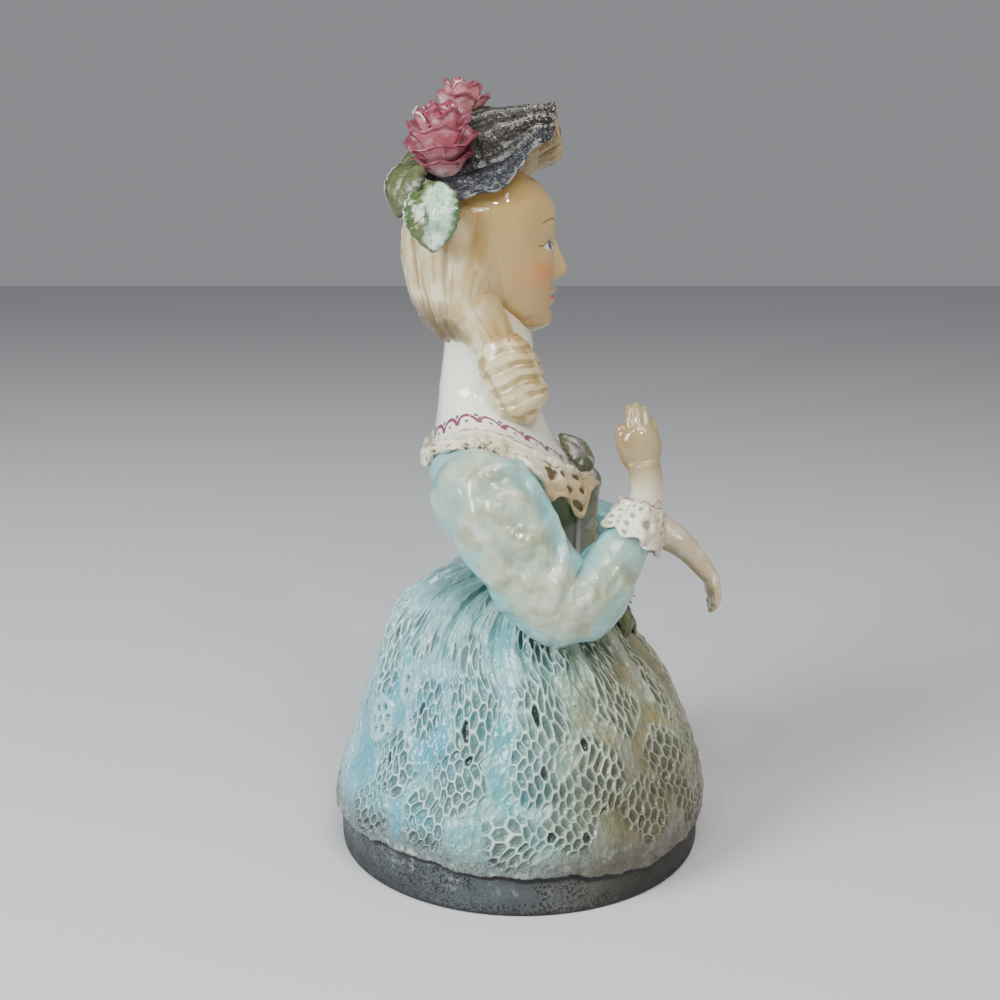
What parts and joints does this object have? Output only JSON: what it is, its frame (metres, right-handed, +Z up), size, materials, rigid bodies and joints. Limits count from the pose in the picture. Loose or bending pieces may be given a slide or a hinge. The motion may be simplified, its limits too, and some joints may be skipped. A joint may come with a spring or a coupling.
{
  "type": "ceramic bust",
  "caption": "Glazed ceramic half-figure of a lady in a lace bell skirt, with a draped hat, roses and ringlets, a hand raised and a hand lowered; stands on its round foot.",
  "frame": {"origin": "centre of the foot's flat underside", "axes": "+Z up; the figure faces -Y; +X towards her left hand"},
  "size_m": [0.1203, 0.1222, 0.23],
  "materials": {
    "body_glaze": "glossy aqua and cream glaze over lace-textured earthenware, ivory on skin and honey on hair",
    "hat_glaze": "glossy blue-black glaze, rubbed silvery on the folds",
    "rose_glaze": "glossy rose-pink glaze, paler at the petal bases and darker at the rims",
    "leaf_glaze": "glossy green glaze with pale rims",
    "hair_glaze": "glossy honey-blond glaze with ochre in the hollows"
  },
  "bodies": {
    "root": {"figure": "body_glaze", "hat": "hat_glaze", "rose_large": "rose_glaze", "rose_small": "rose_glaze", "leaf_front": "leaf_glaze", "leaf_side": "leaf_glaze", "leaf_back": "leaf_glaze", "ringlet_right": "hair_glaze", "ringlet_left": "hair_glaze", "waist_posy": "rose_glaze", "corsage": "leaf_glaze"}
  },
  "joints": []
}
